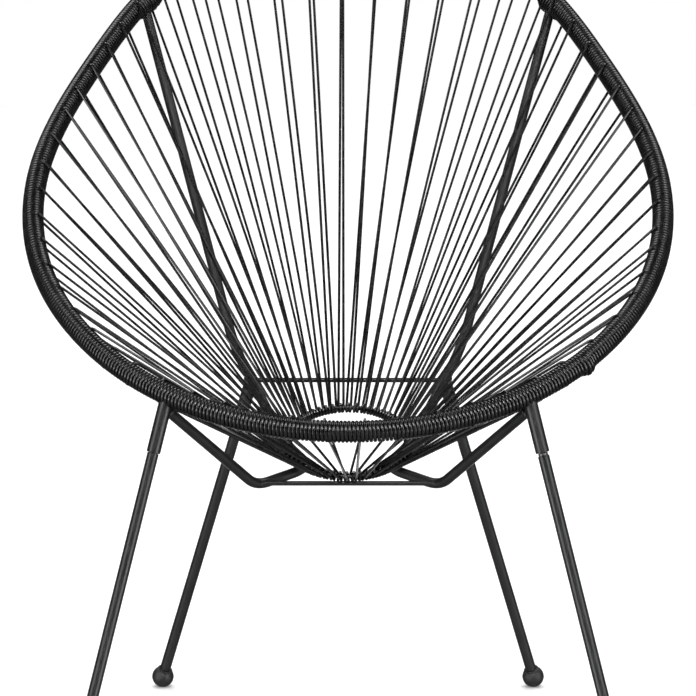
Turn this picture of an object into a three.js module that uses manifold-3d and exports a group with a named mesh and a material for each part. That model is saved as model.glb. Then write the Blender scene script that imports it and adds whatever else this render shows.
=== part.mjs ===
// An acapulco chair: a ring of steel tube wound with round plastic cord, whose strands run in
// pairs to a small ring under the sitter, on a welded frame with four screw-in legs.
// Millimetres, +Z up, +X to the sitter's left as seen from the front, the front towards -Y.
import * as THREE from "three";
import { mergeVertices } from "three/addons/utils/BufferGeometryUtils.js";
import Module from "manifold-3d";

const wasm = await Module();
wasm.setup();

// Driving dimensions
const gap = 0.3; // left between two pieces that touch
const lipHeight = 390; // floor to the middle of the outer ring at its front

// Outer ring: a closed bent tube that rises backwards. The table holds the stations that pull the
// curve, from the front middle to the top middle, as shares of half width, depth and rise.
const ringHalfWidth = 350;
const ringDepth = 740;
const ringRise = 480;
const ringStationShares = [
  [0, -0.02, -0.025],
  [0.6, 0.04, 0.05],
  [0.98, 0.24, 0.25],
  [1.03, 0.485, 0.49],
  [0.825, 0.705, 0.71],
  [0.585, 0.935, 0.935],
  [0, 1.035, 1.035],
];
const ringTubeRadius = 8;
const ringTubeWall = 1.2;
const ringSeam = 0.4; // butt seam at the top middle

// Cord: one winding round the outer ring, with pairs of strands to the inner ring
const cordRadius = 1.7;
const windingThickness = 3.7; // wound cord beyond the tube
const windingGroove = 1; // depth of a valley between two ribs
const pairs = 59; // pairs of strands round the chair
const frontGathering = 0.088; // how much closer the pairs stand at the front than on average
const pairsPerLength = 4; // pairs that one length of cord makes
const lengthsPerSide = 7; // lengths of cord on each side of the top one
const ribsPerPair = 2;
const pairSpread = 4; // along the outer ring, from a pair's middle to each of its strands
const loopSpread = 1.9; // the same along the inner ring
const strandSeatDepth = 1.1; // how deep a strand's end sits in the winding
const strandExitAngle = (60 * Math.PI) / 180; // above and below the middle of the inner face
const frontCrowding = 0.1; // how much wider the loops stand at the front and the back

// Inner ring: a small bent rod that every pair loops round
const innerRingRadius = 67;
const innerRodRadius = 2.5;
const innerRingBack = 215; // behind the outer ring's front
const innerRingDrop = 51; // below the outer ring's front
const innerRingTilt = (23.8 * Math.PI) / 180; // its back is higher

// Side rails: one bent tube a side, from the outer ring's top down and under the seat to the front
const railRadius = 5.75;
const railWall = 1.2;
const railPlace = 22.5; // a rail's top, counted in pairs of strands from the front middle
const railTopDrop = 1.6; // below the outer ring's middle, so that a strand passes over
const railJoinDrop = 14.5; // below the outer ring's middle, where the rail meets the front socket
const railSlack = 1.4; // beyond the gap, under the loops of the inner ring
const rearBendHalfSpan = 128.5;
const rearBendBack = 357;
const rearBendRise = 31; // above the outer ring's front
const rearSeatShare = 0.349; // of the way from the rear bend to the next one
const frontBendHalfSpan = 99;
const rearBendRound = 34; // length that a rounded corner takes off each straight
const underBendRound = 24;
const frontBendRound = 16;
const underCornerShares = [
  [1.05, 0.41],
  [0.61, -0.41],
]; // across and backwards from the inner ring's middle, as shares of its radius
const underCornerDrop = 5.5; // extra depth of the first of the two corners
const crossRodRadius = 2.7;
const frontRodShare = 0.99; // place under the inner ring's front, as a share of its radius

// Legs: each screws with a stud into the threaded bush of a socket that is welded to the frame
const frontSocketArc = 202; // along the outer ring from its front middle
const frontFootHalfSpan = 295;
const frontFootBack = -24;
const rearFootHalfSpan = 216;
const rearFootBack = 474.5;
const socketRadius = 7.5;
const socketWall = 1.4;
const socketLength = 63.5; // from the middle of the tube that carries it
const bushLength = 20;
const bushRecess = 3.4; // from the socket's mouth
const studRadius = 3;
const studReach = 13; // into the bush, and as far into the leg
const collarRadius = 5.3; // the stud's collar stands between the leg and the bush
const collarLength = 2.7;
const legRadius = 6.2;
const legWall = 1.2;
const seatedLegGap = 0.5; // between a tight leg and its socket's mouth
const looseLegGap = 3.4; // the front leg on the +X side stands a few turns out
const footRadius = 12.6;
const footFlatDrop = 11.8; // from the ball's middle to its flat
const footBoreDepth = 4; // past the ball's middle

// Numbers of facets
const tubeSides = 10;
const boreSides = 6;
const railSides = 8;
const windingSides = 8;
const cordSides = 4;
const rodSides = 6;
const innerRingSteps = 48;
const loopSteps = 3;
const bendSteps = 5;
const turnedSides = 12;
const ballSteps = 6;

// Materials
function finish(color, roughness, metalness) {
  return new THREE.MeshStandardMaterial({ color, roughness, metalness });
}
const coatedSteel = finish(0x232426, 0.5, 0.3);
const cordPlastic = finish(0x17181a, 0.32, 0);
const footRubber = finish(0x141414, 0.7, 0);
const platedSteel = finish(0x8b8d90, 0.35, 0.9);

const xAxis = new THREE.Vector3(1, 0, 0);
const yAxis = new THREE.Vector3(0, 1, 0);
const mirrored = (p, side) => new THREE.Vector3(side * p.x, p.y, p.z);
const along = (from, direction, length) => from.clone().addScaledVector(direction, length);
const between = (a, b, share) => a.clone().lerp(b, share);

// The outer ring's centreline: a closed cubic B-spline through the pull of its stations.
class RingCurve extends THREE.Curve {
  constructor() {
    super();
    const half = ringStationShares.map(
      ([x, y, z]) => new THREE.Vector3(x * ringHalfWidth, y * ringDepth, lipHeight + z * ringRise),
    );
    const back = half.slice(1, -1).reverse().map((p) => mirrored(p, -1));
    this.stations = [...half, ...back];
    this.arcLengthDivisions = 1200;
  }
  getPoint(t) {
    const count = this.stations.length;
    const u = (t - Math.floor(t)) * count;
    const first = Math.floor(u);
    const f = u - first;
    const weights = [
      (1 - f) ** 3 / 6,
      (3 * f ** 3 - 6 * f ** 2 + 4) / 6,
      (-3 * f ** 3 + 3 * f ** 2 + 3 * f + 1) / 6,
      f ** 3 / 6,
    ];
    const point = new THREE.Vector3();
    weights.forEach((w, i) => {
      point.addScaledVector(this.stations[(first + i - 1 + count) % count], w);
    });
    return point;
  }
}
const ring = new RingCurve();
const ringLength = ring.getLength();
const pairPitch = ringLength / pairs;

// A curve through given points, with a section at each of them and nowhere else.
class PointCurve extends THREE.Curve {
  constructor(points) {
    super();
    this.points = points;
  }
  getPoint(t) {
    const u = t * (this.points.length - 1);
    const i = Math.min(Math.floor(u), this.points.length - 2);
    return between(this.points[i], this.points[i + 1], u - i);
  }
  getUtoTmapping(u) {
    return u;
  }
  getTangent(t) {
    const i = Math.round(t * (this.points.length - 1));
    const tangent = new THREE.Vector3();
    for (const j of [i - 1, i]) {
      if (j < 0 || j > this.points.length - 2) continue;
      tangent.add(this.points[j + 1].clone().sub(this.points[j]).normalize());
    }
    return tangent.normalize();
  }
}

// A tube or a solid bar along points.
function bar(points, radius, sides, boreRadius = 0) {
  const circle = (r, n) =>
    Array.from({ length: n }, (_, i) => {
      const a = (2 * Math.PI * i) / n;
      return new THREE.Vector2(r * Math.cos(a), r * Math.sin(a));
    });
  const shape = new THREE.Shape(circle(radius, sides));
  if (boreRadius) shape.holes.push(new THREE.Path(circle(boreRadius, boreSides)));
  return new THREE.ExtrudeGeometry(shape, {
    steps: points.length - 1,
    extrudePath: new PointCurve(points),
    curveSegments: 1,
  });
}

// The points of a polyline whose inner corners are rounded by quadratic Bezier curves.
function roundedPath(corners, rounds) {
  const points = [corners[0]];
  for (let i = 1; i < corners.length - 1; i++) {
    const before = corners[i - 1].clone().sub(corners[i]).normalize();
    const after = corners[i + 1].clone().sub(corners[i]).normalize();
    const bend = new THREE.QuadraticBezierCurve3(
      along(corners[i], before, rounds[i - 1]),
      corners[i],
      along(corners[i], after, rounds[i - 1]),
    );
    points.push(...bend.getPoints(bendSteps));
  }
  points.push(corners[corners.length - 1]);
  return points;
}

// The corner whose rounded bend passes through a given point on its way between two others.
function cornerThrough(point, from, to, round) {
  const before = from.clone().sub(point).normalize();
  const after = to.clone().sub(point).normalize();
  return point.clone().addScaledVector(before.add(after), -round / 4);
}

// Solids for joining and cutting
function solid(geometry) {
  const plain = geometry.index ? geometry.toNonIndexed() : geometry.clone();
  plain.deleteAttribute("normal");
  plain.deleteAttribute("uv");
  const merged = mergeVertices(plain, 1e-4);
  return new wasm.Manifold(
    new wasm.Mesh({
      numProp: 3,
      vertProperties: merged.attributes.position.array,
      triVerts: new Uint32Array(merged.index.array),
    }),
  );
}

function geometryOf(body) {
  const mesh = body.getMesh();
  const geometry = new THREE.BufferGeometry();
  geometry.setAttribute("position", new THREE.BufferAttribute(mesh.vertProperties, 3));
  geometry.setIndex(new THREE.BufferAttribute(mesh.triVerts, 1));
  const flat = geometry.toNonIndexed();
  flat.computeVertexNormals();
  return flat;
}

const cutBy = (body, cutters) => cutters.reduce((rest, cutter) => rest.subtract(cutter), body);

const chair = new THREE.Group();
function addPiece(name, geometry, material) {
  const mesh = new THREE.Mesh(geometry, material);
  mesh.name = name;
  chair.add(mesh);
  return mesh;
}

// Where things are on the outer ring: the middle of the tube, and the directions along it,
// towards the inner ring, and square to both on the sitter's side.
const innerMiddle = new THREE.Vector3(0, innerRingBack, lipHeight - innerRingDrop);
function ringFrame(arc) {
  const share = arc / ringLength;
  const u = share - Math.floor(share);
  const middle = ring.getPointAt(u);
  const tangent = ring.getTangentAt(u);
  const inward = innerMiddle.clone().sub(middle);
  inward.addScaledVector(tangent, -inward.dot(tangent)).normalize();
  const upward = tangent.clone().cross(inward);
  return { middle, tangent, inward, upward };
}
const onRing = (frame, radius, angle) =>
  along(along(frame.middle, frame.inward, radius * Math.cos(angle)), frame.upward,
    radius * Math.sin(angle));

// The inner ring's plane: across, backwards and up, and any point given in it.
const innerBack = new THREE.Vector3(0, Math.cos(innerRingTilt), Math.sin(innerRingTilt));
const innerUp = new THREE.Vector3().crossVectors(xAxis, innerBack);
const inInnerPlane = (acrossShare, backShare, drop) =>
  innerMiddle.clone()
    .addScaledVector(xAxis, acrossShare * innerRingRadius)
    .addScaledVector(innerBack, backShare * innerRingRadius)
    .addScaledVector(innerUp, -drop);

// A loop's corners stand out from the rod so that its flats clear the rod by the gap.
const loopRadius = (innerRodRadius + gap + cordRadius) / Math.cos(Math.PI / (2 * loopSteps));
const loopReach = loopRadius + cordRadius;

// Outer ring tube, with one station at each pair of strands and its butt seam at the top. A place
// counts pairs: pair k stands at place k, and half a pair further two pairs' windings meet.
const stationArc = (place) => {
  const turnShare = (place + 0.5) / pairs;
  const turn = 2 * Math.PI * turnShare;
  return ringLength * (turnShare - (frontGathering * Math.sin(turn)) / (2 * Math.PI));
};
const topStation = (pairs - 1) / 2;
const stations = Array.from({ length: pairs - 1 }, (_, i) =>
  ringFrame(stationArc(topStation + 1 + i)).middle,
);
const topArc = stationArc(topStation);
const seamStart = ringFrame(topArc + ringSeam / 2).middle;
const seamEnd = ringFrame(topArc - ringSeam / 2).middle;
const ringRoute = [seamStart, ...stations, seamEnd];
addPiece(
  "outer_ring_tube",
  bar(ringRoute, ringTubeRadius, tubeSides, ringTubeRadius - ringTubeWall),
  coatedSteel,
);

// Inner ring
const innerRing = addPiece(
  "inner_ring",
  new THREE.TorusGeometry(innerRingRadius, innerRodRadius, rodSides, innerRingSteps),
  coatedSteel,
);
innerRing.position.copy(innerMiddle);
innerRing.rotation.x = innerRingTilt;

// Legs' axes: from the tube that carries the socket to the middle of the foot's ball
const frontFoot = new THREE.Vector3(frontFootHalfSpan, frontFootBack, footFlatDrop);
const rearFoot = new THREE.Vector3(rearFootHalfSpan, rearFootBack, footFlatDrop);
const frontSeat = ringFrame(frontSocketArc).middle;
const directionTo = (a, b) => b.clone().sub(a).normalize();

// Side rails
const railTopFrame = ringFrame(stationArc(railPlace));
const railTop = along(railTopFrame.middle, railTopFrame.upward, -railTopDrop);
const rearBend = new THREE.Vector3(rearBendHalfSpan, rearBendBack, lipHeight + rearBendRise);
const railFront = along(frontSeat, directionTo(frontSeat, frontFoot), railJoinDrop);
const underDrop = loopReach + gap + railRadius + railSlack;
const rodDrop = loopReach + gap + crossRodRadius;
const underCorners = underCornerShares.map(([across, back], i) =>
  inInnerPlane(across, back, underDrop + (i === 0 ? underCornerDrop : 0)),
);
const rearSeat = between(rearBend, underCorners[0], rearSeatShare);
const frontBend = inInnerPlane(frontBendHalfSpan / innerRingRadius, -frontRodShare, rodDrop);
const railCorners = [
  railTop,
  rearBend,
  ...underCorners,
  cornerThrough(frontBend, underCorners[1], railFront, frontBendRound),
  railFront,
];
const railRounds = [rearBendRound, underBendRound, underBendRound, frontBendRound];
const railRoute = roundedPath(railCorners, railRounds);
const sides = [
  { name: "left", sign: -1 },
  { name: "right", sign: 1 },
];
const routeOn = (points, sign) => points.map((p) => mirrored(p, sign));

// Solid bars that stand for a tube and the gap round it, to cut its neighbours
const clearing = (radius, facets) => (radius + gap) / Math.cos(Math.PI / facets);
const ringCutter = solid(
  bar(
    [
      ringFrame(gap).middle,
      ...Array.from({ length: pairs }, (_, k) => ringFrame(stationArc(k)).middle),
      ringFrame(-gap).middle,
    ],
    clearing(ringTubeRadius, tubeSides),
    tubeSides,
  ),
);
const railCutters = sides.map(({ sign }) =>
  solid(bar(routeOn(railRoute, sign), clearing(railRadius, railSides), railSides)),
);
const socketAxes = sides.flatMap(({ name, sign }) => [
  {
    name: "front_" + name,
    seat: mirrored(frontSeat, sign),
    foot: mirrored(frontFoot, sign),
    carrier: ringCutter,
    legGap: sign > 0 ? looseLegGap : seatedLegGap,
  },
  {
    name: "rear_" + name,
    seat: mirrored(rearSeat, sign),
    foot: mirrored(rearFoot, sign),
    carrier: railCutters[sign > 0 ? 1 : 0],
    legGap: seatedLegGap,
  },
]);
const socketCutters = socketAxes.map(({ seat, foot }) => {
  const axis = directionTo(seat, foot);
  const mouth = along(seat, axis, socketLength);
  return solid(bar([seat, mouth], clearing(socketRadius, turnedSides), turnedSides));
});

sides.forEach(({ name, sign }) => {
  const tube = bar(routeOn(railRoute, sign), railRadius, railSides, railRadius - railWall);
  const frontSocket = socketCutters[sign > 0 ? 2 : 0];
  addPiece(
    "side_rail_" + name,
    geometryOf(cutBy(solid(tube), [ringCutter, frontSocket])),
    coatedSteel,
  );
});

// Cross rods between the rails' bends
[
  ["front_cross_rod", frontBend],
  ["rear_cross_rod", rearSeat],
].forEach(([name, end]) => {
  const rod = solid(bar([mirrored(end, -1), end], crossRodRadius, rodSides));
  addPiece(name, geometryOf(cutBy(rod, [...railCutters, ...socketCutters])), coatedSteel);
});

// Sockets, with the threaded bush, stud, leg and foot that stand in line below each of them
function turned(profile, axis, start) {
  const geometry = new THREE.LatheGeometry(
    profile.map(([x, y]) => new THREE.Vector2(x, y)),
    turnedSides,
  );
  const turn = new THREE.Quaternion().setFromUnitVectors(yAxis, axis);
  return geometry.applyQuaternion(turn).translate(start.x, start.y, start.z);
}
const sleeve = (inner, outer, length) => [
  [inner, 0],
  [outer, 0],
  [outer, length],
  [inner, length],
  [inner, 0],
];
const ballMiddleToRim = Math.sqrt(footRadius ** 2 - footFlatDrop ** 2);
const ballStart = Math.asin(footFlatDrop / footRadius);
const ballProfile = [
  [0, -footFlatDrop],
  [ballMiddleToRim, -footFlatDrop],
  ...Array.from({ length: ballSteps }, (_, i) => {
    const angle = -ballStart + ((i + 1) / ballSteps) * (ballStart + Math.PI / 2);
    return i === ballSteps - 1
      ? [0, footRadius]
      : [footRadius * Math.cos(angle), footRadius * Math.sin(angle)];
  }),
];
socketAxes.forEach(({ name, seat, foot, carrier, legGap }) => {
  const down = directionTo(seat, foot);
  const mouth = along(seat, down, socketLength);
  const socketBore = socketRadius - socketWall;
  const socket = solid(turned(sleeve(socketBore, socketRadius, socketLength), down, seat));
  addPiece("leg_socket_" + name, geometryOf(cutBy(socket, [carrier])), coatedSteel);

  const bushTop = along(mouth, down, -bushRecess - bushLength);
  addPiece(
    "threaded_bush_" + name,
    turned(sleeve(studRadius + gap, socketBore - gap, bushLength), down, bushTop),
    platedSteel,
  );

  const legTop = along(mouth, down, legGap);
  const legBore = legRadius - legWall;
  const legEnd = along(foot, down, footBoreDepth - gap);
  addPiece(
    "leg_" + name,
    turned(sleeve(legBore, legRadius, legTop.distanceTo(legEnd)), down, legTop),
    coatedSteel,
  );

  const collarEnd = studReach + collarLength;
  addPiece(
    "leg_stud_" + name,
    turned(
      [
        [0, 0],
        [studRadius, 0],
        [studRadius, studReach],
        [collarRadius, studReach],
        [collarRadius, collarEnd],
        [legBore - gap, collarEnd],
        [legBore - gap, collarEnd + studReach],
        [0, collarEnd + studReach],
      ],
      down,
      along(legTop, down, -gap - collarEnd),
    ),
    platedSteel,
  );

  const ball = new THREE.LatheGeometry(
    ballProfile.map(([x, y]) => new THREE.Vector2(x, y)),
    turnedSides,
  )
    .rotateX(Math.PI / 2)
    .translate(foot.x, foot.y, foot.z);
  const bore = bar(
    [along(foot, down, footBoreDepth), along(foot, down, -footRadius - gap)],
    clearing(legRadius, turnedSides),
    turnedSides,
  );
  addPiece("foot_" + name, geometryOf(solid(ball).subtract(solid(bore))), footRubber);
});

// Cord
const windingBore = clearing(ringTubeRadius, windingSides);
const ribRadius = ringTubeRadius + windingThickness;
const valleyRadius = ribRadius - windingGroove;
const strandSeatRadius = ribRadius - strandSeatDepth;

// The middle of the tube's straight between two stations, where the winding's bore runs
function boreMiddle(place) {
  const before = Math.floor(place);
  return between(
    ringFrame(stationArc(before)).middle,
    ringFrame(stationArc(before + 1)).middle,
    place - before,
  );
}

function circleOfPoints(frame, middle, radius, count) {
  return Array.from({ length: count }, (_, i) => {
    const placed = { ...frame, middle };
    return onRing(placed, radius, (2 * Math.PI * i) / count);
  });
}

// A ribbed sleeve round the tube for some pairs, as one closed surface: the ribs outside, the
// bore inside and a flat ring at each end, half the gap short of the next sleeve.
const endGap = gap / 2 / (pairPitch * (1 - frontGathering));
function ribbedSleeve(firstPair, pairCount) {
  const start = firstPair - 0.5 + endGap;
  const end = firstPair + pairCount - 0.5 - endGap;
  const ringsOut = 2 * ribsPerPair * pairCount;
  const outer = Array.from({ length: ringsOut + 1 }, (_, i) => {
    const place = Math.min(Math.max(firstPair - 0.5 + i / (2 * ribsPerPair), start), end);
    const frame = ringFrame(stationArc(place));
    return circleOfPoints(frame, frame.middle, i % 2 ? ribRadius : valleyRadius, windingSides);
  });
  const borePlaces = [start, ...Array.from({ length: pairCount }, (_, i) => firstPair + i), end];
  const inner = borePlaces.map((place) =>
    circleOfPoints(ringFrame(stationArc(place)), boreMiddle(place), windingBore, windingSides),
  );
  const loop = [...outer, ...inner.reverse()];
  const positions = [];
  loop.forEach((circle, i) => {
    const next = loop[(i + 1) % loop.length];
    circle.forEach((a, j) => {
      const k = (j + 1) % windingSides;
      for (const p of [a, circle[k], next[j], circle[k], next[k], next[j]]) positions.push(...p);
    });
  });
  const geometry = new THREE.BufferGeometry();
  geometry.setAttribute("position", new THREE.Float32BufferAttribute(positions, 3));
  return geometry;
}

// A pair's cord: from the winding over the inner rod, round it and back below. The two halves
// of the chair are laced as mirror images.
function pairRoute(k) {
  const hand = k < topStation ? -1 : 1;
  const turnShare = (k + 0.5) / pairs;
  const turn = 2 * Math.PI * turnShare + frontCrowding * Math.sin(4 * Math.PI * turnShare);
  const outward = new THREE.Vector3()
    .addScaledVector(xAxis, Math.sin(turn))
    .addScaledVector(innerBack, -Math.cos(turn));
  const onward = new THREE.Vector3()
    .addScaledVector(xAxis, Math.cos(turn))
    .addScaledVector(innerBack, Math.sin(turn));
  const rodMiddle = along(innerMiddle, outward, innerRingRadius);
  const arc = stationArc(k);
  const climb = ringFrame(arc).middle.sub(rodMiddle);
  const slope = Math.atan2(climb.dot(innerUp), climb.dot(outward));
  const loop = Array.from({ length: loopSteps + 1 }, (_, i) => {
    const angle = slope + (Math.PI * i) / loopSteps;
    return rodMiddle
      .clone()
      .addScaledVector(innerUp, loopRadius * Math.cos(angle))
      .addScaledVector(outward, -loopRadius * Math.sin(angle))
      .addScaledVector(onward, hand * loopSpread * ((2 * i) / loopSteps - 1));
  });
  return [
    onRing(ringFrame(arc - hand * pairSpread), strandSeatRadius, strandExitAngle),
    ...loop,
    onRing(ringFrame(arc + hand * pairSpread), strandSeatRadius, -strandExitAngle),
  ];
}

const lengthStarts = [];
for (let i = 0; i < lengthsPerSide; i++) lengthStarts.push([i * pairsPerLength, pairsPerLength]);
const topPairs = pairs - 2 * lengthsPerSide * pairsPerLength;
lengthStarts.push([lengthsPerSide * pairsPerLength, topPairs]);
for (let i = lengthsPerSide; i > 0; i--) {
  lengthStarts.push([pairs - i * pairsPerLength, pairsPerLength]);
}
lengthStarts.forEach(([firstPair, pairCount], i) => {
  let body = solid(ribbedSleeve(firstPair, pairCount));
  for (let k = firstPair; k < firstPair + pairCount; k++) {
    body = body.add(solid(bar(pairRoute(k), cordRadius, cordSides)));
  }
  body = cutBy(body, [...railCutters, ...socketCutters]);
  addPiece("seat_cord_" + String(i + 1).padStart(2, "0"), geometryOf(body), cordPlastic);
});

// The origin is on the floor, under the middle of the chair's box.
const box = new THREE.Box3().setFromObject(chair);
chair.position.set(0, -(box.min.y + box.max.y) / 2, -box.min.z);

export default chair;
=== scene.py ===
import bpy
import numpy as np
from mathutils import Matrix


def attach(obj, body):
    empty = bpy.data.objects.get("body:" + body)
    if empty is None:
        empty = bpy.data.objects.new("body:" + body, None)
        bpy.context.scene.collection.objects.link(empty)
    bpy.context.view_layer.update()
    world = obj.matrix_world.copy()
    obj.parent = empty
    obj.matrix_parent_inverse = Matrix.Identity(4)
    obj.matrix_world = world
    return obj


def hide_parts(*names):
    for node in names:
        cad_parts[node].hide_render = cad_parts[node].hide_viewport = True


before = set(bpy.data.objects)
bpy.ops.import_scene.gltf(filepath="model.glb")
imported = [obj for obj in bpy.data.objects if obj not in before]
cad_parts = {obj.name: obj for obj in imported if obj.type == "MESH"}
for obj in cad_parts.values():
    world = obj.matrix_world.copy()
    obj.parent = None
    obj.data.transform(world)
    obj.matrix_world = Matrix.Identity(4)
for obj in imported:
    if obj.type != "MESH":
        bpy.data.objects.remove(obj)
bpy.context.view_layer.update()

# Outer ring: one steel tube bent to a closed curve that rises backwards, butt welded at its top
# middle and wound with cord from end to end, so that it shows nowhere but carries everything.
ring_front = -0.35815
lip_height = 0.390
ring_half_width = 0.350
ring_depth = 0.740
ring_rise = 0.480
ring_station_shares = np.array(
    [
        [0, -0.02, -0.025],
        [0.6, 0.04, 0.05],
        [0.98, 0.24, 0.25],
        [1.03, 0.485, 0.49],
        [0.825, 0.705, 0.71],
        [0.585, 0.935, 0.935],
        [0, 1.035, 1.035],
    ]
)
ring_tube_radius = 0.008
ring_steps = 480
ring_sides = 24
fine_places = 12001
crease_angle = np.radians(40)
coat_black = (0.0072, 0.0075, 0.0080)
coat_dusty = (0.0120, 0.0124, 0.0130)
half_stations = ring_station_shares * [ring_half_width, ring_depth, ring_rise]
half_stations = half_stations + [0, ring_front, lip_height]
ring_stations = np.vstack([half_stations, half_stations[-2:0:-1] * [-1, 1, 1]])
inner_ring_back = 0.215
inner_ring_drop = 0.051
inner_middle = np.array([0, ring_front + inner_ring_back, lip_height - inner_ring_drop])


def unit(vectors):
    """Each vector divided by its own length."""
    return vectors / np.linalg.norm(vectors, axis=-1, keepdims=True)


def weighted_stations(t, weights):
    """The sum of the four stations round each place t, each times its weight."""
    first = np.floor(t).astype(int)
    rest = (t - first)[:, None]
    return sum(
        weight(rest) * ring_stations[(first + i - 1) % len(ring_stations)]
        for i, weight in enumerate(weights)
    )


def ring_place(t):
    """The closed uniform cubic B-spline of the stations: (1-f)^3/6, (3f^3-6f^2+4)/6,
    (-3f^3+3f^2+3f+1)/6 and f^3/6 times the four stations round t, f being t's fraction."""
    return weighted_stations(
        t,
        [
            lambda f: (1 - f) ** 3 / 6,
            lambda f: (3 * f**3 - 6 * f**2 + 4) / 6,
            lambda f: (-3 * f**3 + 3 * f**2 + 3 * f + 1) / 6,
            lambda f: f**3 / 6,
        ],
    )


def ring_direction(t):
    """The unit tangent of that curve, from the weights' derivatives."""
    slope = weighted_stations(
        t,
        [
            lambda f: -((1 - f) ** 2) / 2,
            lambda f: (3 * f**2 - 4 * f) / 2,
            lambda f: (-3 * f**2 + 2 * f + 1) / 2,
            lambda f: f**2 / 2,
        ],
    )
    return unit(slope)


places = np.linspace(0, len(ring_stations), fine_places)
steps_along = np.linalg.norm(np.diff(ring_place(places), axis=0), axis=1)
arcs_at_places = np.concatenate([[0], np.cumsum(steps_along)])
ring_length = arcs_at_places[-1]


def ring_frame(arc):
    """Where an arc from the front middle lies on the ring: the tube's middle, the direction along
    it, the one towards the inner ring, and the one square to both on the sitter's side."""
    t = np.interp(np.atleast_1d(arc) % ring_length, arcs_at_places, places)
    middle = ring_place(t)
    tangent = ring_direction(t)
    inward = inner_middle - middle
    inward = unit(inward - (inward * tangent).sum(1, keepdims=True) * tangent)
    return middle, tangent, inward, np.cross(tangent, inward)


def round_ring(at, radius, angle):
    """Points at a distance from the tube's middle, turned by an angle from inward to upward."""
    middle, _, inward, upward = at
    radius = np.asarray(radius)[..., None]
    angle = np.asarray(angle)[..., None]
    return middle + radius * (np.cos(angle) * inward + np.sin(angle) * upward)


def whole_turn(sides):
    """The angles of a polygon's corners, from zero."""
    return 2 * np.pi * np.arange(sides) / sides


def tube_grid(path, radius, sides, reference, closed=False, widening=1.0):
    """Rings round a path: path + r (w cos a n + sin a b), where n is the reference direction made
    square to the path, b is square to both, and w widens the tube along n. The path's direction
    at a point is the mean of the steps before and after it."""
    if closed:
        tangent = np.roll(path, -1, 0) - np.roll(path, 1, 0)
    else:
        tangent = np.gradient(path, axis=0)
    tangent = unit(tangent)
    reference = np.broadcast_to(reference, path.shape)
    normal = unit(reference - (reference * tangent).sum(1, keepdims=True) * tangent)
    beside = np.cross(tangent, normal)
    angle = whole_turn(sides)
    radius = np.broadcast_to(radius, (len(path),))[:, None, None]
    circle = widening * np.cos(angle)[None, :, None] * normal[:, None]
    circle = circle + np.sin(angle)[None, :, None] * beside[:, None]
    return path[:, None] + radius * circle


def grid_faces(rows, sides, closed_rows=False):
    """Quads between neighbouring circles of a grid, facing outwards, as indices into its points."""
    last = rows if closed_rows else rows - 1
    row, side = np.meshgrid(np.arange(last), np.arange(sides), indexing="ij")
    next_row = (row + 1) % rows
    next_side = (side + 1) % sides
    quads = np.stack(
        [
            row * sides + side,
            row * sides + next_side,
            next_row * sides + next_side,
            next_row * sides + side,
        ],
        -1,
    )
    return quads.reshape(-1, 4)


def tube_uv(rows, sides, length, quads):
    """A corner's place on the tube's skin: share of the way round, and metres along it."""
    side = quads % sides
    row = quads // sides
    wraps = (side == 0) & (np.roll(side, 1, 1) + np.roll(side, -1, 1) >= sides - 1)
    around = (side + np.where(wraps, sides, 0)) / sides
    along = row * length / max(rows - 1, 1)
    return np.stack([around, along], -1)


def tube_part(path, radius, sides, reference, closed=False, widening=1.0):
    """Points, faces and corner places of one tube; flat caps close an open one."""
    grid = tube_grid(path, radius, sides, reference, closed, widening)
    rows = len(path)
    quads = grid_faces(rows, sides, closed)
    length = np.linalg.norm(np.diff(path, axis=0), axis=1).sum()
    uv = tube_uv(rows, sides, length, quads)
    faces = quads.tolist()
    uv = uv.reshape(-1, 2)
    if not closed:
        first = list(range(sides))[::-1]
        last = list(range((rows - 1) * sides, rows * sides))
        faces += [first, last]
        uv = np.vstack([uv, np.zeros((2 * sides, 2))])
    return grid.reshape(-1, 3), faces, uv


def joined(parts):
    """Several parts as one: points stacked, and each part's faces counted on from the last."""
    starts = np.cumsum([0] + [len(points) for points, _, _ in parts[:-1]])
    points = np.vstack([part[0] for part in parts])
    faces = [
        [int(start + i) for i in face]
        for start, (_, part_faces, _) in zip(starts, parts)
        for face in part_faces
    ]
    return points, faces, np.vstack([part[2] for part in parts])


def mirrored(part):
    """The same part on the other side of the chair, its faces turned round to point outwards."""
    points, faces, uv = part
    sizes = [len(face) for face in faces]
    ends = np.cumsum(sizes)
    turned = np.concatenate([uv[end - size:end][::-1] for size, end in zip(sizes, ends)])
    return points * [-1, 1, 1], [face[::-1] for face in faces], turned


def piece(name, part, material, node):
    """A smooth-shaded mesh of a part, which stands for the CAD node that it replaces."""
    points, faces, uv = part
    mesh = bpy.data.meshes.new(name)
    mesh.from_pydata(points.tolist(), [], faces)
    mesh.shade_smooth()
    mesh.set_sharp_from_angle(angle=crease_angle)
    layer = mesh.uv_layers.new(name="skin")
    layer.data.foreach_set("uv", np.asarray(uv, np.float32).ravel())
    mesh.materials.append(material)
    made = bpy.data.objects.new(name, mesh)
    bpy.context.collection.objects.link(made)
    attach(made, "root")
    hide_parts(node)


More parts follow.
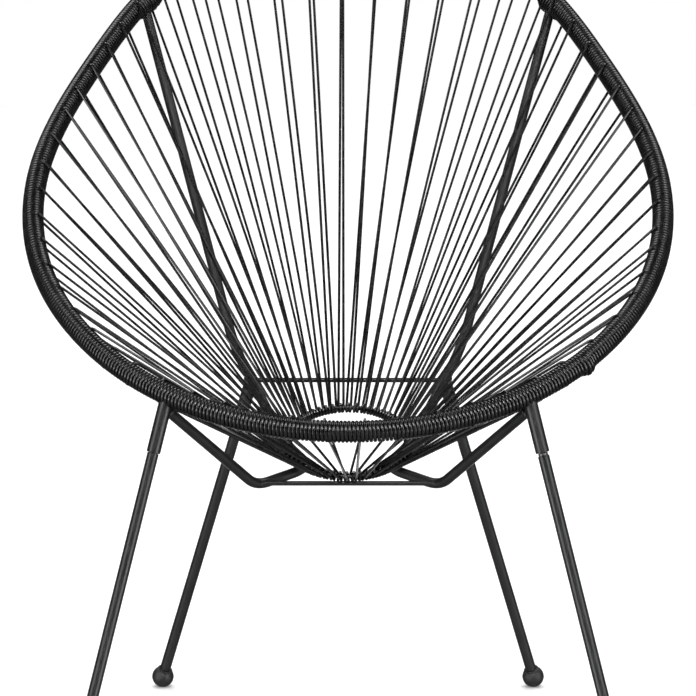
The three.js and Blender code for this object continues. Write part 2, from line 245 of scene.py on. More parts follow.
class Nodes:
    """A material's node tree, with its shader, for adding and joining nodes in one line each."""

    def __init__(self, name):
        self.material = bpy.data.materials.new(name)
        self.material.use_nodes = True
        self.tree = self.material.node_tree
        self.shader = self.tree.nodes["Principled BSDF"]

    def add(self, kind, values=None, **settings):
        """A new node, its settings and its inputs, each a number or another node's socket."""
        node = self.tree.nodes.new(kind)
        for key, value in settings.items():
            setattr(node, key, value)
        for key, value in (values or {}).items():
            if isinstance(value, bpy.types.NodeSocket):
                self.tree.links.new(value, node.inputs[key])
            else:
                node.inputs[key].default_value = value
        return node

    def noise(self, place, scale, detail, roughness=0.5):
        """A cloudy value from place to place."""
        values = {"Vector": place, "Scale": scale, "Detail": detail, "Roughness": roughness}
        return self.add("ShaderNodeTexNoise", values).outputs["Fac"]

    def tones(self, value, low, high, low_at=0.0, high_at=1.0):
        """A colour between two tones, as a value goes from one limit to the other."""
        node = self.add("ShaderNodeValToRGB", {"Fac": value})
        first, last = node.color_ramp.elements
        first.position = low_at
        first.color = (*low, 1)
        last.position = high_at
        last.color = (*high, 1)
        return node.outputs["Color"]

    def spread(self, value, limits, results):
        """A value carried from between two limits to between two results."""
        values = {"Value": value, "From Min": limits[0], "From Max": limits[1],
                  "To Min": results[0], "To Max": results[1]}
        return self.add("ShaderNodeMapRange", values).outputs["Result"]

    def bump(self, height, strength, distance):
        """A normal that leans with the slope of a height."""
        values = {"Height": height, "Strength": strength, "Distance": distance}
        return self.add("ShaderNodeBump", values).outputs["Normal"]

    def set(self, **sockets):
        """The shader's own inputs, each a number, a colour or another node's socket."""
        for key, value in sockets.items():
            socket = self.shader.inputs[key.replace("_", " ")]
            if isinstance(value, bpy.types.NodeSocket):
                self.tree.links.new(value, socket)
            else:
                socket.default_value = value


def powder_coat():
    """Satin black powder coat: a fine orange peel, cloudy gloss and a trace of pale dust."""
    coat = Nodes("powder_coated_steel")
    here = coat.add("ShaderNodeTexCoord").outputs["Object"]
    cloud = coat.noise(here, scale=38, detail=4, roughness=0.6)
    peel = coat.noise(here, scale=1500, detail=2)
    coat.set(
        Base_Color=coat.tones(cloud, coat_black, coat_dusty, low_at=0.3, high_at=0.75),
        Roughness=coat.spread(cloud, limits=(0.3, 0.7), results=(0.34, 0.46)),
        Normal=coat.bump(peel, strength=0.25, distance=0.00015),
        Metallic=0.0,
        IOR=1.5,
    )
    return coat.material


steel_coat = powder_coat()
ring_arcs = np.linspace(0, ring_length, ring_steps, endpoint=False)
ring_at = ring_frame(ring_arcs)
piece(
    "ring_tube",
    tube_part(ring_at[0], ring_tube_radius, ring_sides, ring_at[3], closed=True),
    steel_coat,
    "outer_ring_tube",
)

# Inner ring: a thin round rod bent to a circle and butt welded. It lies under the sitter, its
# back higher than its front, and every pair of strands loops round it.
inner_ring_radius = 0.067
inner_rod_radius = 0.0025
inner_ring_steps = 180
rod_sides = 16
inner_ring_tilt = np.radians(23.8)
inner_back = np.array([0, np.cos(inner_ring_tilt), np.sin(inner_ring_tilt)])
inner_up = np.array([0, -np.sin(inner_ring_tilt), np.cos(inner_ring_tilt)])
across = np.array([1.0, 0, 0])


def inner_ring_at(turn):
    """The rod's middle, the direction out of the ring, and the one onwards, at a turn that starts
    at the front and goes by +X."""
    turn = np.asarray(turn)[..., None]
    outward = np.sin(turn) * across - np.cos(turn) * inner_back
    onward = np.cos(turn) * across + np.sin(turn) * inner_back
    return inner_middle + inner_ring_radius * outward, outward, onward


inner_turns = np.linspace(0, 2 * np.pi, inner_ring_steps, endpoint=False)
inner_rod_path = inner_ring_at(inner_turns)[0]
piece(
    "inner_ring_rod",
    tube_part(inner_rod_path, inner_rod_radius, rod_sides, inner_up, closed=True),
    steel_coat,
    "inner_ring",
)

# Places of the pairs of strands, which gather towards the front, and the legs' axes. The legs and
# the rails hang on them, so they are settled before anything is welded.
pairs = 59
front_gathering = 0.088
pair_of_rail_top = 22.5
front_socket_arc = 0.202
foot_flat_drop = 0.0118
front_foot = np.array([0.295, ring_front - 0.024, foot_flat_drop])
rear_foot = np.array([0.216, ring_front + 0.4745, foot_flat_drop])


def station_arc(place):
    """The arc at a place counted in pairs: the share of the turn u less g sin(2 pi u) / (2 pi)."""
    share = (np.asarray(place, float) + 0.5) / pairs
    return ring_length * (share - front_gathering * np.sin(2 * np.pi * share) / (2 * np.pi))


# Side rails: one bent steel tube a side, welded under the ring's top, down along the back, under
# the seat past two shallow bends, and up again to the front leg's socket.
rail_radius = 0.00575
rail_top_drop = 0.0016
rail_join_drop = 0.0145
rail_sides = 24
bend_steps = 12
under_corner_shares = ((1.05, 0.41), (0.61, -0.41))
under_rail_drop = 0.01495
under_corner_drop = 0.0055
cross_rod_radius = 0.0027
cross_rod_drop = 0.0096
front_rod_share = 0.99
rear_bend = np.array([0.1285, ring_front + 0.357, lip_height + 0.031])
rear_seat_share = 0.349
front_bend_half_span = 0.099
rear_round = 0.034
under_round = 0.024
front_round = 0.016
socket_radius = 0.0075
weld_thickness = 0.0016
weld_ripples = 26
weld_swell = 0.16
weld_sides = 8
rail_weld_stand = 0.0009
slanting = (0.31, 0.52, 0.79)


def under_inner_ring(across_share, back_share, drop):
    """A point under the inner ring's plane, given across and backwards in shares of its radius."""
    flat = across_share * across + back_share * inner_back
    return inner_middle + inner_ring_radius * flat - drop * inner_up


def rounded_path(corners, rounds, steps):
    """The corners' polyline with each inner corner c replaced by the quadratic Bezier curve
    (1-t)^2 a + 2t(1-t) c + t^2 b between points a and b, a set length before and after it."""
    before = corners[1:-1] + rounds[:, None] * unit(corners[:-2] - corners[1:-1])
    after = corners[1:-1] + rounds[:, None] * unit(corners[2:] - corners[1:-1])
    t = np.linspace(0, 1, steps)[None, :, None]
    bends = (1 - t) ** 2 * before[:, None] + 2 * t * (1 - t) * corners[1:-1, None]
    bends = bends + t**2 * after[:, None]
    return np.vstack([corners[:1], bends.reshape(-1, 3), corners[-1:]])


rail_top_at = ring_frame(station_arc(pair_of_rail_top))
rail_top = (rail_top_at[0] - rail_top_drop * rail_top_at[3])[0]
front_seat = ring_frame(front_socket_arc)[0][0]
front_leg_down = unit(front_foot - front_seat)
rail_front = front_seat + rail_join_drop * front_leg_down
under_corners = [
    under_inner_ring(*under_corner_shares[0], under_rail_drop + under_corner_drop),
    under_inner_ring(*under_corner_shares[1], under_rail_drop),
]
front_bend = under_inner_ring(
    front_bend_half_span / inner_ring_radius, -front_rod_share, cross_rod_drop
)
rear_seat = rear_bend + rear_seat_share * (under_corners[0] - rear_bend)
# The corner lies outside its bend, so that the rounded path passes through the bend's middle.
corner_pull = unit(under_corners[1] - front_bend) + unit(rail_front - front_bend)
front_corner = front_bend - front_round / 4 * corner_pull
rail_corners = np.array([rail_top, rear_bend, *under_corners, front_corner, rail_front])
rail_rounds = np.array([rear_round, under_round, under_round, front_round])
rail_path = rounded_path(rail_corners, rail_rounds, bend_steps)
rail_reference = np.linalg.svd(unit(np.diff(rail_path, axis=0)))[2][-1]


def circle_about(axis, angle):
    """Unit directions square to an axis, each at an angle round it: cos a s + sin a t, where s is
    square to the axis and to a slanting direction, and t is square to the axis and to s."""
    side = unit(np.cross(axis, slanting))
    return np.cos(angle)[:, None] * side + np.sin(angle)[:, None] * np.cross(axis, side)


def weld_bead(middle, axis, radius, thickness=weld_thickness, ripples=weld_ripples):
    """A ring of weld metal round an axis: a torus whose thickness swells with each ripple."""
    turn = np.linspace(0, 2 * np.pi, 5 * ripples, endpoint=False)
    path = middle + radius * circle_about(axis, turn)
    thick = thickness * (1 + weld_swell * np.abs(np.sin(ripples * turn / 2)))
    return tube_part(path, thick, weld_sides, axis, closed=True)


rail_tube = tube_part(rail_path, rail_radius, rail_sides, rail_reference)
rail_end_way = unit(rail_path[-2] - rail_path[-1])
rail_weld_middle = rail_path[-1] + (socket_radius + rail_weld_stand) * rail_end_way
rail_weld = weld_bead(rail_weld_middle, rail_end_way, rail_radius)
rail_whole = joined([rail_tube, rail_weld])
for side_name, part in (("right", rail_whole), ("left", mirrored(rail_whole))):
    piece("rail_" + side_name, part, steel_coat, "side_rail_" + side_name)

# Cross rods: two thin straight rods, welded between the rails where these bend, one in front of
# the inner ring and one behind it.
rod_steps = 9
rod_sink = 0.001
rod_weld_sink = 0.0002
rod_weld_thickness = 0.0009
rod_weld_ripples = 12
for rod_name, rod_end in (("front_cross_rod", front_bend), ("rear_cross_rod", rear_seat)):
    reach = rod_end - (rail_radius - rod_sink) * across
    rod_path = np.linspace(reach * [-1, 1, 1], reach, rod_steps)
    bar = tube_part(rod_path, cross_rod_radius, rod_sides, inner_up)
    bead_middle = rod_end - (rail_radius - rod_weld_sink) * across
    bead = weld_bead(
        bead_middle, -across, cross_rod_radius, rod_weld_thickness, rod_weld_ripples
    )
    piece(
        rod_name + "_bar",
        joined([bar, bead, mirrored(bead)]),
        steel_coat,
        rod_name,
    )

# Leg sockets: a short steel tube for each leg, its upper end coped to the tube that carries it
# and welded on. A threaded bush is pressed into its mouth, and the leg's stud screws into that.
socket_wall = 0.0014
socket_length = 0.0635
bush_length = 0.020
bush_recess = 0.0034
stud_radius = 0.003
stud_reach = 0.013
collar_radius = 0.0053
collar_length = 0.0027
leg_radius = 0.0062
leg_wall = 0.0012
seated_leg_gap = 0.0005
loose_leg_gap = 0.0034
turned_sides = 32
socket_chamfer = 0.0005
socket_weld_thickness = 0.0013
socket_weld_stand = 0.0002
socket_weld_swell = 0.18
seam_step = 0.25
fit_clearance = 0.0003
bush_lead_in = 0.0005
bush_edge = 0.0004
bush_end_lead_in = 0.0006
stud_tip = 0.0006
stud_sides = 24
thread_pitch = 0.001
thread_depth = 0.0004
collar_edge = 0.0003
zinc_dark = (0.07, 0.071, 0.073)
zinc_pale = (0.16, 0.16, 0.158)


def turned_part(profile, start, axis, sides=turned_sides):
    """A profile of (radius, height) points turned round an axis. Points on the axis close it;
    a profile that ends where it starts makes a ring."""
    profile = np.asarray(profile, float)
    closed = np.allclose(profile[0], profile[-1])
    if closed:
        profile = profile[:-1]
    circle = circle_about(axis, whole_turn(sides))
    grid = start + profile[:, 1, None, None] * axis + profile[:, 0, None, None] * circle
    rows = len(profile)
    quads = grid_faces(rows, sides, closed)
    length = np.linalg.norm(np.diff(profile, axis=0), axis=1).sum()
    uv = tube_uv(rows, sides, length, quads).reshape(-1, 2)
    points = grid.reshape(-1, 3)
    faces = quads.tolist()
    if not closed:
        keep = slice(sides - 1, len(points) - sides + 1)
        points = points[keep]
        faces = np.clip(quads - (sides - 1), 0, len(points) - 1)
        faces = [list(dict.fromkeys(face)) for face in faces.tolist()]
        flat = [
            corner
            for quad, face in zip(quads.tolist(), faces)
            for corner in ([0, 1, 2, 3] if len(face) == 4 else [0, 1, 2])
        ]
        sizes = np.array([len(face) for face in faces])
        owner = np.repeat(np.arange(len(faces)), sizes)
        uv = uv.reshape(-1, 4, 2)[owner, flat]
    return points, faces, uv


def coped_start(seat, axis, carrier_way, carrier_radius, radius, sides=turned_sides):
    """How far along the socket each of its sides meets the carrier: the larger root d of
    |a d + w| = R, where a and w are the axis and the side's offset square to the carrier."""
    offset = radius * circle_about(axis, whole_turn(sides))
    square_axis = axis - (axis @ carrier_way) * carrier_way
    square_offset = offset - (offset @ carrier_way)[:, None] * carrier_way
    half = square_offset @ square_axis
    size = square_axis @ square_axis
    room = (square_offset**2).sum(1) - carrier_radius**2
    return (-half + np.sqrt(np.maximum(half**2 - size * room, 0))) / size


def socket_part(seat, axis, carrier_way, carrier_radius):
    """The socket's tube, its coped upper edge following the carrier, and its weld."""
    circle = circle_about(axis, whole_turn(turned_sides))
    bore = socket_radius - socket_wall
    outer = coped_start(seat, axis, carrier_way, carrier_radius, socket_radius)
    inner = coped_start(seat, axis, carrier_way, carrier_radius, bore)
    inner = np.maximum(inner, outer.min())
    mouth = np.full(turned_sides, socket_length)
    edge = mouth - socket_chamfer
    radii = [bore, socket_radius, socket_radius, socket_radius, socket_radius - socket_chamfer,
             bore + socket_chamfer, bore, bore]
    ways = [inner, outer, outer + 0.3 * (mouth - outer), edge, mouth, mouth, edge,
            inner + 0.3 * (mouth - inner)]
    grid = np.stack(
        [seat + way[:, None] * axis + radius * circle for radius, way in zip(radii, ways)]
    )
    quads = grid_faces(len(radii), turned_sides, closed_rows=True)
    uv = tube_uv(len(radii), turned_sides, 2 * socket_length, quads)
    tube = grid.reshape(-1, 3), quads.tolist(), uv.reshape(-1, 2)
    seam = seat + outer[:, None] * axis + (socket_radius + socket_weld_stand) * circle
    fine = np.arange(0, turned_sides, seam_step)
    wrapped = np.vstack([seam, seam[:1]])
    seam = np.stack(
        [np.interp(fine, np.arange(turned_sides + 1), wrapped[:, i]) for i in range(3)], -1
    )
    ripple = np.abs(np.sin(np.pi * fine * 0.9))
    thick = socket_weld_thickness * (1 + socket_weld_swell * ripple)
    return joined([tube, tube_part(seam, thick, weld_sides, axis, closed=True)])


rail_way = unit(under_corners[0] - rear_bend)
front_at = ring_frame(front_socket_arc)
legs = []
for side_name, side_sign in (("left", -1), ("right", 1)):
    flip = np.array([side_sign, 1, 1])
    legs.append(("front_" + side_name, front_seat * flip, front_foot * flip,
                 front_at[1][0] * flip, ring_tube_radius,
                 loose_leg_gap if side_sign > 0 else seated_leg_gap))
    legs.append(("rear_" + side_name, rear_seat * flip, rear_foot * flip, rail_way * flip,
                 rail_radius, seated_leg_gap))


def zinc_plate():
    """Zinc on turned steel, under a dull and cloudy film."""
    zinc = Nodes("zinc_plated_steel")
    here = zinc.add("ShaderNodeTexCoord").outputs["Object"]
    film = zinc.noise(here, scale=420, detail=3)
    zinc.set(
        Base_Color=zinc.tones(film, zinc_dark, zinc_pale),
        Roughness=zinc.spread(film, limits=(0, 1), results=(0.25, 0.45)),
        Normal=zinc.bump(film, strength=0.2, distance=0.0001),
        Metallic=0.9,
    )
    return zinc.material


def thread_profile(radius, start, end):
    """A thread's outline seen from the side: radius less a triangle wave, crest to root."""
    height = np.arange(start, end, thread_pitch / 2)
    depth = thread_depth * (np.arange(len(height)) % 2)
    return np.stack([radius - depth, height], -1)


plated = zinc_plate()
for name, seat, foot, carrier_way, carrier_radius, leg_gap in legs:
    down = unit(foot - seat)
    piece(
        "socket_" + name,
        socket_part(seat, down, carrier_way, carrier_radius),
        steel_coat,
        "leg_socket_" + name,
    )
    mouth = seat + socket_length * down
    bush_top = mouth - (bush_recess + bush_length) * down
    bore = socket_radius - socket_wall
    bush_outer = bore - fit_clearance
    bush_inner = stud_radius + fit_clearance
    bush = [
        (bush_inner, bush_lead_in), (bush_inner + bush_lead_in, 0), (bush_outer - bush_edge, 0),
        (bush_outer, bush_edge), (bush_outer, bush_length - bush_edge),
        (bush_outer - bush_edge, bush_length), (bush_inner + bush_end_lead_in, bush_length),
        (bush_inner, bush_length - bush_end_lead_in), (bush_inner, bush_lead_in),
    ]
    piece(
        "bush_" + name,
        turned_part(bush, bush_top, down),
        plated,
        "threaded_bush_" + name,
    )
    leg_top = mouth + leg_gap * down
    collar_end = stud_reach + collar_length
    plug_radius = leg_radius - leg_wall - fit_clearance
    plug_end = collar_end + stud_reach
    stud = np.vstack(
        [
            [(0, 0), (stud_radius - stud_tip, 0)],
            thread_profile(stud_radius, stud_tip, stud_reach),
            [
                (collar_radius - collar_edge, stud_reach),
                (collar_radius, stud_reach + collar_edge),
                (collar_radius, collar_end - collar_edge),
                (collar_radius - collar_edge, collar_end),
                (plug_radius, collar_end), (plug_radius, plug_end - stud_tip),
                (plug_radius - stud_tip, plug_end), (0, plug_end),
            ],
        ]
    )
    stud_start = leg_top - (fit_clearance + collar_end) * down
    piece(
        "stud_" + name,
        turned_part(stud, stud_start, down, stud_sides),
        plated,
        "leg_stud_" + name,
    )

# Legs: straight steel tubes, cut square, with a rubber ball pressed over the lower end of each.
# The ball has a flat that stands on the floor and a fine mould line round its middle.
foot_radius = 0.0126
foot_bore_depth = 0.004
foot_steps = 22
foot_sides = 40
mould_line_height = 0.00022
mould_line_width = 0.0004
foot_lip_profile = np.array(
    [
        [0.0003, 0.0016],
        [0.0003, -0.0003],
        [0.0014, -0.0005],
        [0.0024, 0.0002],
        [0.0022, 0.0012],
        [0.0003, 0.0016],
    ]
)
leg_edge = 0.0004
rubbed_height = 0.006
rubber_black = (0.0085, 0.0085, 0.0088)
rubber_rubbed = (0.045, 0.044, 0.042)


def foot_rubber():
    """Matt black moulded rubber: fine grain, rubbed greyer towards the floor."""
    rubber = Nodes("foot_rubber")
    here = rubber.add("ShaderNodeTexCoord").outputs["Object"]
    grain = rubber.noise(here, scale=900, detail=3)
    height = rubber.add("ShaderNodeSeparateXYZ", {"Vector": here}).outputs["Z"]
    rubbed = rubber.spread(height, limits=(0, rubbed_height), results=(1, 0))
    worn = rubber.add("ShaderNodeMath", {0: rubbed, 1: grain}, operation="MULTIPLY")
    rubber.set(
        Base_Color=rubber.tones(worn.outputs["Value"], rubber_black, rubber_rubbed),
        Normal=rubber.bump(grain, strength=0.3, distance=0.0002),
        Roughness=0.55,
        Metallic=0.0,
    )
    return rubber.material


rubber = foot_rubber()
for name, seat, foot, _, _, leg_gap in legs:
    down = unit(foot - seat)
    top = seat + (socket_length + leg_gap) * down
    end = foot + (foot_bore_depth - fit_clearance) * down
    length = np.linalg.norm(end - top)
    bore = leg_radius - leg_wall
    tube = [
        (bore, leg_edge), (bore + leg_edge, 0), (leg_radius - leg_edge, 0),
        (leg_radius, leg_edge), (leg_radius, 0.33 * length), (leg_radius, 0.66 * length),
        (leg_radius, length - leg_edge), (leg_radius - leg_edge, length), (bore, length),
        (bore, leg_edge),
    ]
    piece(
        "leg_tube_" + name,
        turned_part(tube, top, down),
        steel_coat,
        "leg_" + name,
    )
    low = -np.arcsin(foot_flat_drop / foot_radius)
    swing = np.linspace(low, np.pi / 2, foot_steps)
    line = mould_line_height * np.exp(-((foot_radius * swing / mould_line_width) ** 2))
    ball = np.stack([(foot_radius + line) * np.cos(swing), foot_radius * np.sin(swing)], -1)
    ball[-1] = (0, foot_radius)
    rim = np.sqrt(foot_radius**2 - foot_flat_drop**2)
    ball = np.vstack([[(0, -foot_flat_drop), (0.9 * rim, -foot_flat_drop)], ball])
    shell = turned_part(ball, foot, np.array([0, 0, 1.0]), foot_sides)
    lip_at = foot - np.sqrt(foot_radius**2 - leg_radius**2) * down
    lip = turned_part(foot_lip_profile + [leg_radius, 0], lip_at, down)
    piece("ball_" + name, joined([shell, lip]), rubber, "foot_" + name)

# Cord: lengths of round black plastic cord. Each is wound round the ring, leaves it from below
# towards the inner ring, loops round the rod and comes back over the winding, pair after pair.
wound_cord_radius = 0.0017
wound_cord_widening = 1.16
wound_radius = 0.0103
wound_pitch = 0.00418
wound_steps = 24
strand_radius = 0.0015
loop_cord_radius = 0.0017
strand_press = 0.0002
over_radius = wound_radius + wound_cord_radius + strand_radius - strand_press
below_radius = 0.0108
cord_sides = 8
loop_pitch = 0.0035
loop_turns = 1.5
loop_gap = 0.0001
loop_radius = inner_rod_radius + loop_cord_radius + loop_gap
loop_crowding = 0.04
loop_steps = 25
settle_angle = np.radians(36)
settled_radius = 0.0092
settle_steps = 9
run_shares = np.array([0.01, 0.03, 0.25, 0.5, 0.75, 0.97, 0.99])[None, :, None]
pairs_per_length = 4
lengths_per_side = 7
cord_black = (0.0026, 0.0027, 0.0028)
cord_cloudy = (0.0056, 0.0057, 0.0058)

# The lacing is done by hand, so no strand leaves the ring quite at its pair's even place: these
# are the shifts along the ring, in millimetres, of the strands over and below the inner ring,
# from the front round by +X. The loops round the rod drift too, given at a few pairs in radians.
over_shift = 0.001 * np.array(
    [-1, 0, 1, 2, 4, 5, 3, 11, 20, 22, 19, 22, 16, 19, 21, 19, 18, 12, 10, 9, 8, 7, 10, 5, 9, 7, 9,
     9, 9, 6, 1, 0, 4, 2, -4, -3, -1, -2, -6, -8, -8, -13, -9, -3, -2, 2, 3, 7, 7, 6, 5, 4, -1, 0,
     -1, -2, -3, -4, -6]
)
below_shift = 0.001 * np.array(
    [-7, -6, -5, -4, -2, -1, -5, -3, 4, 6, 11, 14, 15, 18, 14, 14, 7, 1, 4, 0, -8, -9, -2, 0, 1, 3,
     8, 8, 8, 8, 4, 6, 13, 11, 8, 7, 15, 14, 10, 7, 6, 3, 7, 5, 13, 12, 14, 16, 14, 7, 7, 6, 2, 6,
     5, 4, 3, 2, 0]
)
drift_pairs = [0, 6, 12, 22, 26, 30, 34, 38, 44, 50, 55, 58]
loop_drift = [0.03, 0.01, 0.04, 0.06, 0.08, 0.13, 0.145, 0.09, 0.01, 0, 0.03, 0.03]

# The winding swells over the ends of the rails, and low on the side of +X over a join of the cord:
# each swelling is its place along the ring, its width, its angle from inward to upward, and its
# height.
rail_arc = float(station_arc(pair_of_rail_top))
winding_bumps = (
    (rail_arc - 0.016, 0.008, -0.3, 0.0035),
    (rail_arc + 0.002, 0.009, -0.4, 0.0052),
    (ring_length - rail_arc - 0.014, 0.006, -0.4, 0.0050),
    (ring_length - rail_arc - 0.002, 0.007, -0.4, 0.0058),
    (ring_length - rail_arc + 0.014, 0.007, -0.3, 0.0042),
    (0.279, 0.0065, -2.2, 0.0044),
)


def black_cord():
    """Glossy black plastic cord: die lines along its skin, and tone and gloss in soft clouds."""
    cord = Nodes("black_plastic_cord")
    coordinates = cord.add("ShaderNodeTexCoord")
    stretched = cord.add(
        "ShaderNodeMapping", {"Vector": coordinates.outputs["UV"], "Scale": (5.0, 18.0, 1.0)}
    )
    lines = cord.noise(stretched.outputs["Vector"], scale=2, detail=3, roughness=0.6)
    cloud = cord.noise(coordinates.outputs["Object"], scale=60, detail=4, roughness=0.6)
    cord.set(
        Base_Color=cord.tones(cloud, cord_black, cord_cloudy, low_at=0.35, high_at=0.8),
        Roughness=cord.spread(cloud, limits=(0.3, 0.7), results=(0.22, 0.32)),
        Normal=cord.bump(lines, strength=0.15, distance=0.0002),
        Metallic=0.0,
        IOR=1.5,
    )
    return cord.material


def wound_path(start_arc, end_arc):
    """The middle of the wound cord: a helix about the ring, angle 2 pi n u at the share u of the
    way from one arc to the other, n being the whole number of turns that fit. Where it passes over
    a bump, its radius grows by h e^(-d^2) cos^4 (a/2) towards the bump's angle, d being the
    distance along the ring in widths of the bump and a the angle from its middle."""
    length = end_arc - start_arc
    turns = int(round(length / wound_pitch))
    share = np.linspace(0, 1, turns * wound_steps + 1)
    arc = start_arc + share * length
    angle = 2 * np.pi * turns * share
    radius = np.full(len(arc), wound_radius)
    for bump_arc, width, bump_angle, height in winding_bumps:
        near = np.exp(-(((arc - bump_arc) / width) ** 2))
        radius = radius + height * near * np.cos((angle - bump_angle) / 2) ** 4
    at = ring_frame(arc)
    return round_ring(at, radius, angle), at[1]


def strand_paths():
    """The middle of each pair's cord, from where it lies in the winding, over the ring to the
    inner rod, round the rod in a helix, and back below the ring: an array of pairs by points by
    three. Where a strand lies on the winding its angle goes on by the settle angle, its radius
    eases inwards by 3x^2 - 2x^3, and it slides along the ring as its own slope says. With the
    array come each point's radius, and each pair's direction square to its strands."""
    pair = np.arange(pairs)
    share = (pair + 0.5) / pairs
    turn = 2 * np.pi * share + loop_crowding * np.sin(4 * np.pi * share)
    turn = turn + np.interp(pair, drift_pairs, loop_drift)
    rod, outward, onward = inner_ring_at(turn)
    ends = {}
    for name, up, shift, lay_radius in (
        ("below", -1, below_shift, below_radius),
        ("over", 1, over_shift, over_radius),
    ):
        start_arc = station_arc(pair) + shift
        at = ring_frame(start_arc)
        middle, tangent, inward, upward = at
        climb = middle + up * lay_radius * upward - rod
        slope = np.arctan2((climb * inner_up).sum(1), (climb * outward).sum(1))
        touch_angle = slope + up * np.pi / 2
        touch = (
            rod
            + loop_radius * np.cos(touch_angle)[:, None] * outward
            + loop_radius * np.sin(touch_angle)[:, None] * inner_up
            - up * loop_pitch * loop_turns / 2 * onward
        )
        away = touch - middle
        depth = (away * inward).sum(1)
        height = (away * upward).sum(1)
        angle = np.arctan2(height, depth) + up * np.arccos(lay_radius / np.hypot(depth, height))
        leave = round_ring(at, lay_radius, angle)
        way = touch - leave
        slide = -(way * tangent).sum(1) / np.hypot((way * inward).sum(1), (way * upward).sum(1))
        x = np.linspace(0, 1, settle_steps)[None]
        radius = lay_radius + (settled_radius - lay_radius) * x * x * (3 - 2 * x)
        turned = angle[:, None] + up * settle_angle * x
        moved = slide[:, None] * lay_radius * settle_angle * x
        arcs = (start_arc[:, None] + moved).ravel()
        lying = round_ring(ring_frame(arcs), np.tile(radius[0], pairs), turned.ravel())
        ends[name] = lying.reshape(pairs, -1, 3), touch, touch_angle
    below, below_touch, below_angle = ends["below"]
    over, over_touch, over_angle = ends["over"]
    x = np.linspace(0, 1, loop_steps)[None, 1:-1, None]
    loop_angle = below_angle - over_angle + 2 * np.pi * np.ceil(loop_turns)
    turned = over_angle[:, None, None] + x * loop_angle[:, None, None]
    sideways = loop_pitch * loop_turns * (x - 0.5)
    loop = (
        rod[:, None]
        + loop_radius * np.cos(turned) * outward[:, None]
        + loop_radius * np.sin(turned) * inner_up
        + sideways * onward[:, None]
    )
    over_run = over[:, :1] + run_shares * (over_touch - over[:, 0])[:, None]
    below_run = below_touch[:, None] + run_shares * (below[:, 0] - below_touch)[:, None]
    stretches = [over[:, ::-1], over_run, over_touch[:, None], loop, below_touch[:, None],
                 below_run, below]
    slack = np.concatenate([np.full(part.shape[1], part is loop) for part in stretches])
    thick = np.where(slack, loop_cord_radius, strand_radius)
    return np.concatenate(stretches, 1), thick, onward


cord_plastic = black_cord()
strands, strand_thick, strand_sides = strand_paths()


def cord_part(first_pair, pair_count):
    """One length of cord: its winding and the strands of its pairs."""
    start = station_arc(first_pair - 0.5)
    end = station_arc(first_pair + pair_count - 0.5)
    path, tangent = wound_path(start, end)
    winding = tube_part(
        path, wound_cord_radius, cord_sides, tangent, widening=wound_cord_widening
    )
    laced = [
        tube_part(strands[pair], strand_thick, cord_sides, strand_sides[pair])
        for pair in range(first_pair, first_pair + pair_count)
    ]
    return joined([winding, *laced])


side_pairs = lengths_per_side * pairs_per_length
back_pairs = pairs - 2 * side_pairs
pair_counts = [pairs_per_length] * lengths_per_side
pair_counts = pair_counts + [back_pairs] + pair_counts
first_pairs = np.cumsum([0] + pair_counts[:-1]).tolist()
for number, (first_pair, pair_count) in enumerate(zip(first_pairs, pair_counts), 1):
    piece(
        f"cord_{number:02d}",
        cord_part(first_pair, pair_count),
        cord_plastic,
        f"seat_cord_{number:02d}",
    )

# Studio: a plain pale floor, soft panels of light on both sides and above, and a surround that is
# white to the camera and to shaded surfaces. What the glossy surfaces mirror is set apart from it.
floor_half = 6.0


def plain_finish(name, colour, roughness):
    """One even colour for what isn't part of the chair."""
    plain = Nodes(name)
    plain.set(Base_Color=(*colour, 1), Roughness=roughness)
    return plain.material


floor_mesh = bpy.data.meshes.new("floor")
corners = np.array([[-1, -1, 0], [1, -1, 0], [1, 1, 0], [-1, 1, 0]]) * floor_half
floor_mesh.from_pydata(corners.tolist(), [], [[0, 1, 2, 3]])
floor_mesh.materials.append(plain_finish("pale_floor", (0.97, 0.97, 0.97), 0.9))
floor = bpy.data.objects.new("floor", floor_mesh)
bpy.context.collection.objects.link(floor)
floor.visible_glossy = False

# The chair mirrors a dim room with soft boxes. Each is a direction, the angles in degrees from it
# where the box starts to fade and where it is dark, and its light; it has a twin across the middle.
room_light = 0.04
soft_boxes = (
    ((0.80, -0.57, -0.16), 6, 17, 8.0),
    ((0.745, -0.54, 0.39), 6, 17, 7.0),
    ((0.45, 0.36, 0.82), 5, 15, 8.0),
    ((0.27, -0.62, 0.74), 5, 17, 4.0),
    ((0.0, -0.79, 0.613), 3, 9, 40.0),
)

# It also mirrors two patches of lit floor, one behind the chair and one in front of it. A patch is
# the product of ramps over the parts of the mirrored direction, each with where it starts, where
# it ends, and the light at each. X counts away from the middle.
floor_patches = (
    (
        ("Y", 0.2, 0.6, 0, 2.0),
        ("X", 0.2, 0.4, 1, 0.1),
        ("Z", -0.28, -0.4, 0, 1),
        ("Z", -0.5, -0.62, 1, 0.1),
    ),
    (
        ("Y", 0.2, -0.3, 0, 0.42),
        ("Z", 0.0, -0.14, 0, 1),
    ),
)
world = bpy.data.worlds.new("white_surround")
world.use_nodes = True
surround = world.node_tree
ray = surround.nodes.new("ShaderNodeLightPath")
way = surround.nodes.new("ShaderNodeTexCoord")
way_parts = surround.nodes.new("ShaderNodeSeparateXYZ")
surround.links.new(way.outputs["Generated"], way_parts.inputs["Vector"])


def sky_math(operation, *values):
    """A math node of the surround, between sockets or plain numbers."""
    node = surround.nodes.new("ShaderNodeMath")
    node.operation = operation
    for value, socket in zip(values, node.inputs):
        if isinstance(value, bpy.types.NodeSocket):
            surround.links.new(value, socket)
        else:
            socket.default_value = value
    return node.outputs["Value"]


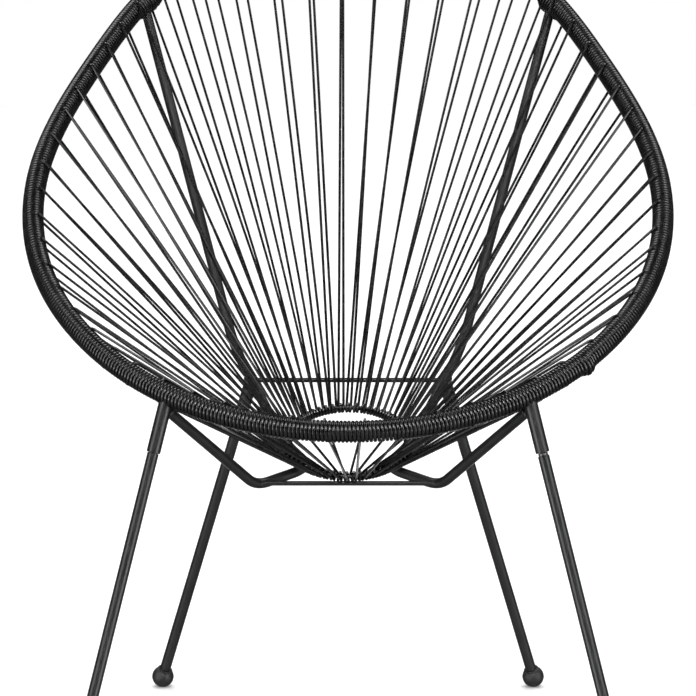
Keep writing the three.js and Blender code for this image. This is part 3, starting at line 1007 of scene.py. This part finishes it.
def sky_ramp(value, low, high, low_light, high_light):
    """A smooth change of light from one value of a direction's part to another."""
    node = surround.nodes.new("ShaderNodeMapRange")
    node.interpolation_type = "SMOOTHSTEP"
    surround.links.new(value, node.inputs["Value"])
    for name, number in (("From Min", low), ("From Max", high), ("To Min", low_light),
                         ("To Max", high_light)):
        node.inputs[name].default_value = number
    return node.outputs["Result"]


from_middle = {
    "X": sky_math("ABSOLUTE", way_parts.outputs["X"]),
    "Y": way_parts.outputs["Y"],
    "Z": way_parts.outputs["Z"],
}
either_side = surround.nodes.new("ShaderNodeCombineXYZ")
for name, socket in from_middle.items():
    surround.links.new(socket, either_side.inputs[name])
mirrored_light = room_light
for direction, lit_angle, dark_angle, box_light in soft_boxes:
    towards = surround.nodes.new("ShaderNodeVectorMath")
    towards.operation = "DOT_PRODUCT"
    surround.links.new(either_side.outputs["Vector"], towards.inputs[0])
    towards.inputs[1].default_value = unit(np.array(direction))
    dark, lit = np.cos(np.radians([dark_angle, lit_angle]))
    box = sky_ramp(towards.outputs["Value"], dark, lit, 0, box_light)
    mirrored_light = sky_math("ADD", mirrored_light, box)
for ramps in floor_patches:
    patch = 1.0
    for name, low, high, low_light, high_light in ramps:
        ramp = sky_ramp(from_middle[name], low, high, low_light, high_light)
        patch = sky_math("MULTIPLY", patch, ramp)
    mirrored_light = sky_math("ADD", mirrored_light, patch)
strength = surround.nodes.new("ShaderNodeMix")
strength.data_type = "FLOAT"
surround.links.new(ray.outputs["Is Glossy Ray"], strength.inputs["Factor"])
strength.inputs["A"].default_value = 1.0
surround.links.new(mirrored_light, strength.inputs["B"])
surround.links.new(strength.outputs["Result"], surround.nodes["Background"].inputs["Strength"])
surround.nodes["Background"].inputs["Color"].default_value = (1, 1, 1, 1)
bpy.context.scene.world = world
bpy.context.scene.view_settings.view_transform = "Standard"


def light_panel(name, place, target, width, height, power):
    """A rectangular soft light that faces a target and isn't mirrored."""
    light = bpy.data.lights.new(name, "AREA")
    light.shape = "RECTANGLE"
    light.size = width
    light.size_y = height
    light.energy = power
    lamp = bpy.data.objects.new(name, light)
    bpy.context.collection.objects.link(lamp)
    lamp.location = place
    lamp.visible_glossy = False
    away = unit(np.array(place, float) - np.array(target, float))
    right = unit(np.cross([0, 0, 1.0], away))
    turn = np.stack([right, np.cross(away, right), away], 1)
    lamp.rotation_euler = Matrix(turn.tolist()).to_euler()


chair_middle = (0, 0, 0.45)
light_panel("left_panel", (-2.2, -1.6, 1.2), chair_middle, 0.9, 2.4, 12)
light_panel("right_panel", (2.2, -1.6, 1.2), chair_middle, 0.9, 2.4, 12)
light_panel("top_panel", (0, 1.0, 4.5), chair_middle, 3.0, 3.0, 120)

# Camera: straight in front of the chair, far off with a long lens, and looking down a little. It
# aims at a point above the lip's middle.
camera_distance = 5.0
camera_rise = 0.08836
camera_elevation = np.radians(9.5)
camera_lens = 245.12
view_way = np.array([0, np.cos(camera_elevation), -np.sin(camera_elevation)])
view_up = np.array([0, np.sin(camera_elevation), np.cos(camera_elevation)])
camera_data = bpy.data.cameras.new("camera")
camera_data.lens = camera_lens
camera_data.sensor_width = 36
camera_data.sensor_fit = "HORIZONTAL"
camera_data.clip_end = 50
camera = bpy.data.objects.new("camera", camera_data)
bpy.context.collection.objects.link(camera)
lip_middle = np.array([0, ring_front, lip_height])
camera.location = lip_middle - camera_distance * view_way + camera_rise * view_up
camera.rotation_euler = (np.pi / 2 - camera_elevation, 0, 0)
bpy.context.scene.camera = camera
